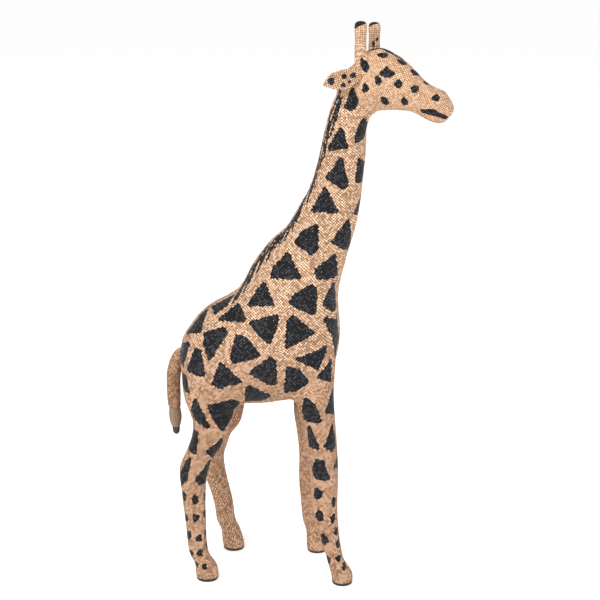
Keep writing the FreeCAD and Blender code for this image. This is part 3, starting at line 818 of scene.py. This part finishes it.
LEG_SPOTS = [
    # hind, down both edges, then front down the middle and the edges
    (-126, 98, 8, 11), (-112, 96, 8, 11), (-124, 73, 8, 10), (-112, 75, 8, 10), (-121, 54, 8, 10),
    (-109, 51, 8, 10), (-119, 33, 7, 8), (-108, 34, 7, 8), (-113, 20, 7, 8), (-103, 19, 7, 8),
    (-100, 77, 6, 10), (-99, 96, 6, 10), (-100, 54, 5, 9), (-98, 40, 5, 8),
    (20, 106, 11, 15), (22, 81, 11, 14), (27, 54, 10, 13), (30, 29, 9, 11), (38, 96, 8, 12), (37, 77, 7, 12),
    (41, 62, 7, 11), (43, 48, 7, 11), (43, 32, 7, 9), (50, 22, 7, 8),
]
side_panel = BODY_PATCHES + NECK_PATCHES + LEG_PATCHES + [spot(*row) for row in LEG_SPOTS]


def from_side(p, middle):
    """The flat cut of the trunk and the tops of the legs, each point taking after the form that it is on."""
    x, z = trunk.unrolled(*p.T)
    own = trunk.distance(*p.T)
    for (name, side), leg in legs.items():
        mine = (p[:, 1] > 0) == (side == "left")
        share = np.clip((own - leg.distance(*p.T)) / 12 + 0.35, 0, 1)
        share = share ** 2 * (3 - 2 * share) * mine * (middle[:, 2] < 300)
        facing = leg.unrolled(*middle.T)[2]
        u, v, _ = leg.unrolled(*p.T, facing)
        x, z = x + share * (u - x), z + share * (v - z)
    return np.stack([x, z], 1)


def other_hand(flat, p):
    """The far side is painted from the same eye but by hand, so its patches drift from the near side's."""
    drift = np.clip(p[:, 1] / 18, 0, 1)[:, None]
    x, z = flat.T
    return flat + drift * np.stack([5 * np.sin(z / 23 + 1) + 3 * np.sin(x / 17),
                                    5 * np.sin(x / 26) + 3 * np.sin(z / 19 + 2)], 1)


def body_paint(flat, p):
    return painted(other_hand(flat, p), side_panel + mane)


# The mane is a row of slanted strokes down both sides of the back line, from the ears to the withers.
mane = []
rng = np.random.default_rng(7)


def mane_stroke(s, start, long, depth, wide):
    """A stroke from station s downwards.  start and depth are how far inside the outline its ends are seen,
    which on a round form is half * acos(1 - depth / half) below the ridge."""
    ends = []
    for at, inside in ((s, start), (s - long, start + depth)):
        half = np.interp(at, trunk.station, np.array(TRUNK)[:, 4])
        below = half * math.acos(1 - max(inside, 0) / half)
        ends.append(trunk.flat(at, float(trunk.read(trunk.arc[:, -1], at)) - below))
    return stroke(*ends, wide)


# Short strokes lie side by side on the nape, and longer ones follow one by one down to the withers.
nape, withers = trunk.station[18], trunk.station[6]
mane += [mane_stroke(nape + s, start, 23, 1.5, 3.2)
         for s, start in ((1, 1), (-1, 3.5), (-5, 6.5), (-12, 2), (-18, 4.5), (-24, 0.6), (-27, 3))]
below_nape = nape - 34
for share in np.linspace(0, 1, 18):
    s = below_nape + share * (withers - below_nape) + rng.uniform(-3, 3)
    mane.append(mane_stroke(s, rng.uniform(0, 0.8), rng.uniform(20, 28), rng.uniform(3, 5.5) + share * 3,
                            rng.uniform(2.6, 3.4) + share))

body = ~over["leg"] & ~over["neck"]
for side, far in (("right", False), ("left", True)):
    piece = cover(f"body_cover_{side}_cloth", body & (over["middle"] == far), from_side, 45, body_paint,
                  painted_jute, ("leg",) if far else ("leg", "middle"))
    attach(piece, "root")
    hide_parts(f"body_cover_{side}")


# ---- Leg covers ------------------------------------------------------------------------------------------
# A strip of the same jute goes round each leg from the hock or knee seam down to the sole, butted on the
# inner side.

# The far legs are nearly plain, with a few marks.
FAR_LEG_SPOTS = [(-96, 150, 6, 10), (-104, 94, 6, 9), (-90, 60, 5, 8), (-92, 24, 6, 6), (10, 150, 9, 14),
                 (9, 112, 7, 11), (8, 80, 7, 10), (8, 50, 6, 9), (12, 26, 6, 7)]


def leg_paint(side):
    outlines = side_panel if side == "right" else [spot(*row) for row in FAR_LEG_SPOTS]
    return lambda flat, p: painted(flat, outlines)


for (name, side), leg in legs.items():
    at_hind = centres[:, 0] < -35
    where = over["leg"] & (at_hind == (name == "hind")) & ((centres[:, 1] > 0) == (side == "left"))

    def round_leg(p, middle, leg=leg):
        return np.stack(leg.unrolled(*p.T, leg.unrolled(*middle.T)[2])[:2], 1)

    piece = cover(f"{name}_leg_cover_{side}_cloth", where, round_leg, 45, leg_paint(side), painted_jute)
    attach(piece, "root")
    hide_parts(f"{name}_leg_cover_{side}")


# ---- Neck covers -----------------------------------------------------------------------------------------
# The neck is wrapped in two pieces of the body's jute, the upper one lapped over the lower one at the
# collar and the lower one over the body.  Patches and mane run on across the seams.

for name, where, lips, cut, area in (
        ("lower", over["neck"] & ~over["collar"], ("neck",), (0.21, 0.05), 0.0055),
        ("upper", over["collar"] & ~over["head"], ("collar",), (0.17, 0.14), 0.0195)):
    piece = cover(f"neck_cover_{name}_cloth", where, from_side, 45, body_paint, painted_jute, lips)
    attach(piece, "root")
    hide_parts(f"neck_cover_{name}")


# ---- Head cover ------------------------------------------------------------------------------------------
# A finer jute is worked over the head in one piece and lapped over the neck behind the jaw.  The eyes,
# nostrils, mouth and spots are painted.

# x, z, width, height and tilt of each spot
HEAD_SPOTS = [
    # along the crown, below it, the cheek and the muzzle
    (86, 569.5, 11, 7.5, -8), (104.5, 564, 10, 7.5, -20), (117.5, 554.5, 10, 8, -35), (70, 556, 9, 12, 20),
    (84, 543, 8, 10, 15), (104, 540, 9, 9.5, 0), (120, 535, 9, 8.5, 20), (71, 535, 8, 10, 0),
    (90, 522, 8, 11, 30), (110, 522, 7.5, 10.5, 10), (141, 527, 8.5, 7.5, -20), (129.5, 545, 7, 5, -40),
]
crown = skull.read(skull.arc[:, -1], skull.station)
HEAD_MARKS = [
    # two strokes along the crown
    stroke(skull.flat(skull.station[4], crown[4] - 5), skull.flat(skull.station[5] + 8, crown[5] - 2), 4.0),
    stroke(skull.flat(skull.station[5], crown[5] - 1), skull.flat(skull.station[7], crown[7] - 2), 4.6),
    # the mouth and the eye
    [(125, 514.5), (134, 516), (142, 515), (152.5, 508), (151.5, 504.5), (141, 508),
     (133, 510.3), (127, 511.5)],
    [(84.5, 550), (88, 554), (91.5, 558), (94, 555), (98, 552.5), (101, 549.5), (96, 546),
     (91, 545.5), (87, 547)],
]


def from_head(p, middle):
    hx, hy = to_head(p[:, 0], p[:, 1])
    return np.stack(skull.unrolled(hx, hy, p[:, 2]), 1)


def head_paint(flat, p):
    # the first of the neck's patches and strokes run up under the lap
    return np.minimum(painted(flat, [spot(*row) for row in HEAD_SPOTS] + HEAD_MARKS),
                      painted(from_side(p, p), NECK_PATCHES[:1] + mane[:4]))


fine_jute = jute("fine_jute", (0.66, 0.405, 0.25), 0.85, 0.5)
piece = cover("head_cover_cloth", over["head"] & ~horns, from_head, 30, head_paint, fine_jute, ("head",), 1.8)
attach(piece, "root")
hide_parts("head_cover")


# ---- Horn covers -----------------------------------------------------------------------------------------
# A small tube of the head's jute is drawn over each horn, and its tip is dipped in the black paint.

def horn_wrap(side):
    hx, hy, _ = horn_at[side]

    def flat(p, middle):
        px, py = to_head(p[:, 0], p[:, 1])
        mx, my = to_head(middle[:, 0], middle[:, 1])
        angle, facing = np.arctan2(px - hx, -(py - hy)), np.arctan2(mx - hx, -(my - hy))
        angle = angle + 2 * math.pi * np.round((facing - angle) / (2 * math.pi))
        return np.stack([angle * 6.4, p[:, 2]], 1)
    return flat


def horn_paint(side):
    """The dipped tip, lower at the back, and on the left horn two marks down its front."""
    hx, hy, drop = horn_at[side]
    level, tilt = (595.6, 0.48) if side == "right" else (594.9, 0.3)

    def paint(flat, p):
        ahead = to_head(p[:, 0], p[:, 1])[0] - hx
        dip = level + tilt * ahead - p[:, 2]
        marks = [] if side == "right" else [spot(0.5, 576.5, 5, 6), spot(5.2, 581, 4, 4)]
        return np.minimum(dip, painted(flat, marks))
    return paint


for side in SIDES:
    piece = cover(f"horn_cover_{side}_cloth", over[f"horn_{side}"], horn_wrap(side), 0, horn_paint(side),
                  fine_jute)
    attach(piece, "root")
    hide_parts(f"horn_cover_{side}")


# ---- Ears ------------------------------------------------------------------------------------------------
# Each ear is a leaf of two glued layers of jute, cupped outwards and folded together at its root, where it
# is glued to the head behind the horn.

# distance along the ear, lower edge, upper edge
EAR_LEAF = [(0, -3.2, 3.2), (5, -7.0, 5.6), (11, -10.2, 7.9), (18, -11.2, 9.6), (25, -9.8, 9.5),
            (32, -6.0, 7.0), (37, -2.6, 3.4), (39.5, 0, 0)]
EAR_THICK = 2.4
EAR_CUP = 17.0                  # radius that the leaf is bent to
EAR_ROOT = {"right": (66.0, -21.0, 550.0), "left": (66.0, 21.0, 546.0)}
EAR_LIE = {"right": (-36.0, -12.0, -12.5), "left": (-34.0, 13.0, -19.0)}
# along the ear, across it, length and width of each spot
EAR_SPOTS = [(31, 1.5, 8, 9), (17, 2.2, 6, 6), (8.5, 0.2, 7.5, 6.5), (13.5, -5, 4.5, 3), (20.5, -6.6, 6, 5.5)]


def surface(name, grid, material, flat, paint=None, closed=True):
    """A mesh over a grid of points: rows along, columns round.  Its threads are counted on the flat cut, and
    its ends are closed where closed is set."""
    rows, columns = grid.shape[:2]
    i, j = np.meshgrid(np.arange(rows - 1), np.arange(columns), indexing="ij")
    k = (j + 1) % columns
    quads = np.stack([i * columns + j, i * columns + k, (i + 1) * columns + k, (i + 1) * columns + j], -1)
    shapes = quads.reshape(-1, 4).tolist()
    if closed:
        shapes += [list(range(columns))[::-1], list(range((rows - 1) * columns, rows * columns))]
    mesh = bpy.data.meshes.new(name)
    mesh.from_pydata((grid.reshape(-1, 3) * MM).tolist(), [], shapes)
    index = np.empty(len(mesh.loops), np.int32)
    mesh.loops.foreach_get("vertex_index", index)
    count = flat.reshape(-1, 2)[index] / PITCH
    mesh.uv_layers.new(name="threads").data.foreach_set("uv", count.astype(np.float32).ravel())
    value = np.full(rows * columns, BARE) if paint is None else paint.ravel()
    attribute = mesh.attributes.new("paint", "FLOAT", "CORNER")
    attribute.data.foreach_set("value", value[index].astype(np.float32))
    mesh.shade_smooth()
    mesh.materials.append(material)
    piece = bpy.data.objects.new(name, mesh)
    bpy.context.scene.collection.objects.link(piece)
    return piece


def ear_grid(side):
    """The ear's skin: a flat, round-edged section of the leaf's width, bent to the cup's radius, carried
    from root to tip.  The cup is tighter near the root, where the leaf is folded together."""
    mirror = -1 if side == "right" else 1
    leaf = np.array(EAR_LEAF)
    ear_long = leaf[-1, 0]
    t = np.linspace(0, 1, 60)[:, None]
    along = ear_long * (1 - (1 - t) ** 2)
    knots = 1 - np.sqrt(1 - leaf[:, 0] / ear_long)
    line, _ = eased(np.column_stack([knots * 40, leaf[:, 1], leaf[:, 2]]), 200)
    lower, upper = (np.interp(t * 40, line[:, 0], line[:, i]) for i in (1, 2))
    angle = np.linspace(0, 2 * math.pi, 65)[None, :-1]
    half = (upper - lower) / 2
    thick = EAR_THICK / 2 * np.sqrt(np.clip(half / 3.0, 0.02, 1))
    across = (upper + lower) / 2 + half * np.cos(angle)
    layer = thick * np.sign(np.sin(angle)) * np.abs(np.sin(angle)) ** 0.6
    cup = EAR_CUP * (0.42 + 0.58 * np.clip(along / 14, 0, 1) ** 0.8) + 1.2 * np.sin(along / 5)
    radius = cup - layer
    bent = radius * np.sin(across / cup)
    rise = cup + EAR_THICK / 2 - radius * np.cos(across / cup) + 0.6 * np.sin(along / 7) * across / 8
    lie = np.array(EAR_LIE[side]) / np.linalg.norm(EAR_LIE[side])
    out = np.array([0.0, mirror, 0.0])
    side_way = np.cross(lie, out)
    side_way *= -mirror / np.linalg.norm(side_way)
    out = mirror * np.cross(lie, side_way)
    p = np.array(EAR_ROOT[side]) + along[..., None] * lie + bent[..., None] * side_way + rise[..., None] * out
    c, s = math.cos(HEAD_TURN), math.sin(HEAD_TURN)
    x, y = p[..., 0] - TURN_AT, p[..., 1]
    place = np.stack([(TURN_AT + x * c - y * s) * ALONG + SHIFT, (x * s + y * c) * ACROSS, p[..., 2]], -1)
    flat = np.stack(np.broadcast_arrays(along, across), -1)
    inside = np.broadcast_to(layer, flat.shape[:2]) > 0.3
    return place, flat, inside


ear_jute = jute("ear_jute", (0.54, 0.325, 0.20), 0.9, 0.45)
for side in SIDES:
    grid, flat, inside = ear_grid(side)
    paint = painted(flat.reshape(-1, 2), [spot(*row) for row in EAR_SPOTS]).reshape(inside.shape)
    paint = np.where(inside, paint, BARE)
    if side == "left":
        grid, flat, paint = grid[:, ::-1], flat[:, ::-1], paint[:, ::-1]
    piece = surface(f"ear_{side}_leaf", grid, ear_jute, flat, paint)
    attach(piece, "root")
    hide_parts(f"ear_{side}")


# ---- Tail ------------------------------------------------------------------------------------------------
# The tail is a narrow tube of finer jute over a thin core.  Twine is wound round its end into a knob, and
# the wire's end below it is tufted and painted black.

# x, z, radius
TAIL = [(-118, 248.5, 7.6), (-122, 248, 7.2), (-131.5, 243, 6.9), (-137.5, 233, 6.6), (-140.2, 220, 6.4),
        (-140.6, 203, 6.3), (-140.3, 190, 5.9), (-140, 184, 5.4)]
KNOB = [(-140, 184, 4.6), (-139.7, 179, 5.6), (-139.4, 172, 5.8), (-139.2, 166, 4.8), (-139, 162.5, 3.6)]
TIP = [(-139, 162.5, 4.2), (-138.8, 158, 4.0), (-138.7, 154.5, 3.2), (-138.7, 152.6, 1.4)]


def tube(rows, count, around):
    """A round section carried down the middle plane along the eased line through rows of x, z and radius."""
    line, _ = eased(rows, count)
    way = np.gradient(line[:, :2], axis=0)
    way /= np.linalg.norm(way, axis=1)[:, None]
    angle = np.linspace(0, 2 * math.pi, around + 1)[None, :-1]
    r = line[:, 2:3]
    x = line[:, :1] + way[:, 1:] * r * np.cos(angle)
    z = line[:, 1:2] - way[:, :1] * r * np.cos(angle)
    y = -r * np.sin(angle) + 0 * x
    far = np.concatenate([[0], np.cumsum(np.linalg.norm(np.diff(line[:, :2], axis=0), axis=1))])[:, None]
    flat = np.stack([angle * 6.6 + 0 * far, far + 0 * angle], -1)
    grid = np.stack([x * ALONG + SHIFT, y * ACROSS, z], -1)
    return grid, flat


grid, flat = tube(TAIL, 110, 56)
tail_jute = jute("tail_jute", (0.47, 0.28, 0.17), 0.8)
turned = np.stack([flat[..., 0] * 0.9 + flat[..., 1] * 0.9, flat[..., 1] * 0.9 - flat[..., 0] * 0.9], -1)
piece = surface("tail_cover_cloth", grid, tail_jute, turned, closed=False)
wall = piece.modifiers.new("cloth", "SOLIDIFY")
wall.thickness, wall.offset = CLOTH * MM, -1.0
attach(piece, "root")
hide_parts("tail_cover")


def twine(name, tones):
    """Two-ply twine: twist lines that run slantwise round it, painted darker in their grooves as painted
    shade, and fine hair.
    """
    t = Tree(name)
    uv = t.add("ShaderNodeUVMap", {"uv_map": "threads"})
    part = t.add("ShaderNodeSeparateXYZ", Vector=uv)
    across = Sock(t.tree, part.out.node.outputs[1])
    ply = ((part + across) * 2 * math.pi).math("SINE")
    fibre = t.add("ShaderNodeTexNoise", Vector=t.where(), Scale=1800.0, Detail=3.0)
    # painted shade: the grooves between the plies are darker
    colour = t.mix(ply.step(-0.9, 0.6) * (0.5 + fibre * 0.9), *tones)
    return t.finish(colour, fibre * 0.2 + 0.75, ply + fibre, 0.0003)


def cord_grid(line, radius, around):
    """A round section of the given radius carried along a line of points, with its twist counted."""
    way = np.gradient(line, axis=0)
    way /= np.linalg.norm(way, axis=1)[:, None]
    side = np.cross(way, (0.31, 0.11, 0.94))
    side /= np.linalg.norm(side, axis=1)[:, None]
    other = np.cross(way, side)
    angle = np.linspace(0, 2 * math.pi, around + 1)[None, :-1, None]
    grid = line[:, None] + radius * (side[:, None] * np.cos(angle) + other[:, None] * np.sin(angle))
    far = np.concatenate([[0], np.cumsum(np.linalg.norm(np.diff(line, axis=0), axis=1))])[:, None]
    flat = np.stack([far + 0 * angle[..., 0], angle[..., 0] / (2 * math.pi) * PITCH + 0 * far], -1)
    return grid, flat


TURNS = 12
CORD = 1.15                     # radius of the twine
line, _ = eased(KNOB, 700)
angle = np.linspace(0, TURNS * 2 * math.pi, len(line))
wound = np.stack([line[:, 0] + line[:, 2] * np.cos(angle), line[:, 2] * np.sin(angle), line[:, 1]], 1)
wound[:, 0] = wound[:, 0] * ALONG + SHIFT
grid, flat = cord_grid(wound, CORD, 10)
piece = surface("tail_knob_twine", grid, twine("knob_twine", ((0.16, 0.1, 0.06), (0.52, 0.36, 0.24))), flat)
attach(piece, "root")
# painted shade: the heart that shows between the wound turns is a darker copy of the twine
heart, flat = tube(KNOB, 40, 24)
core = surface("tail_knob_heart", heart, twine("heart_twine_in_shade", ((0.1, 0.06, 0.035), (0.3, 0.2, 0.13))), flat)
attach(core, "root")
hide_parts("tail_knob")


def tuft_black():
    """Black paint over a tuft of fibres, greyer where it is thin."""
    t = Tree("tuft_black")
    thin = t.add("ShaderNodeTexNoise", Vector=t.where(), Scale=500.0, Detail=4.0)
    colour = t.mix(thin.step(0.5, 0.72), (0.02, 0.019, 0.02), (0.11, 0.1, 0.095))
    return t.finish(colour, thin * 0.3 + 0.45, thin, 0.0006)


grid, flat = tube(TIP, 40, 28)
piece = surface("tail_tip_tuft", grid, tuft_black(), flat)
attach(piece, "root")
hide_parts("tail_tip")


# ---- Studio ----------------------------------------------------------------------------------------------
# A plain white floor, wide soft lights and one camera a little above the figure's chest.

def studio_white():
    t = Tree("studio_white")
    grain = t.add("ShaderNodeTexNoise", Vector=t.where(), Scale=8.0)
    return t.finish(t.mix(grain, (0.93, 0.93, 0.93), (0.95, 0.95, 0.95)), 0.9, Specular_IOR_Level=0.1,
                    Emission_Color=(1.0, 1.0, 1.0, 1.0), Emission_Strength=0.3)


mesh = bpy.data.meshes.new("floor")
mesh.from_pydata([(-60, -60, 0), (60, -60, 0), (60, 60, 0), (-60, 60, 0)], [], [(0, 1, 2, 3)])
mesh.materials.append(studio_white())
floor = bpy.data.objects.new("floor", mesh)
bpy.context.scene.collection.objects.link(floor)

world = bpy.data.worlds.new("studio")
world.use_nodes = True
world.node_tree.nodes["Background"].inputs["Color"].default_value = (1.0, 1.0, 1.0, 1.0)
world.node_tree.nodes["Background"].inputs["Strength"].default_value = 0.72
bpy.context.scene.world = world


def softbox(name, at, aim, size, power):
    lamp = bpy.data.lights.new(name, "AREA")
    lamp.shape, lamp.size, lamp.energy = "SQUARE", size, power
    box = bpy.data.objects.new(name, lamp)
    way = np.array(aim, float) - np.array(at, float)
    box.location = at
    dip, turn = math.atan2(math.hypot(way[0], way[1]), -way[2]), math.atan2(way[0], -way[1])
    box.rotation_euler = (dip, 0.0, turn + math.pi)
    bpy.context.scene.collection.objects.link(box)


softbox("key", (-0.9, -1.6, 1.9), (0, 0, 0.3), 1.3, 46.0)
softbox("fill", (1.7, -1.2, 1.2), (0, 0, 0.3), 1.4, 16.0)

# The camera looks at AIM from AWAY millimetres, TURN round from the right side and LIFT above the level.
TURN, LIFT, AWAY, LENS = math.radians(4), math.radians(15), 1490.3, 84.0
AIM = np.array([-5.38, 0.0, 307.2])
back = np.array([math.sin(TURN) * math.cos(LIFT), -math.cos(TURN) * math.cos(LIFT), math.sin(LIFT)])
lens = bpy.data.cameras.new("camera")
lens.lens, lens.sensor_width = LENS, 36.0
lens.clip_start, lens.clip_end = 0.05, 300.0
camera = bpy.data.objects.new("camera", lens)
camera.location = (AIM + AWAY * back) * MM
camera.rotation_euler = (math.pi / 2 - LIFT, 0.0, TURN)
bpy.context.scene.collection.objects.link(camera)
bpy.context.scene.camera = camera
bpy.context.scene.view_settings.view_transform = "Standard"
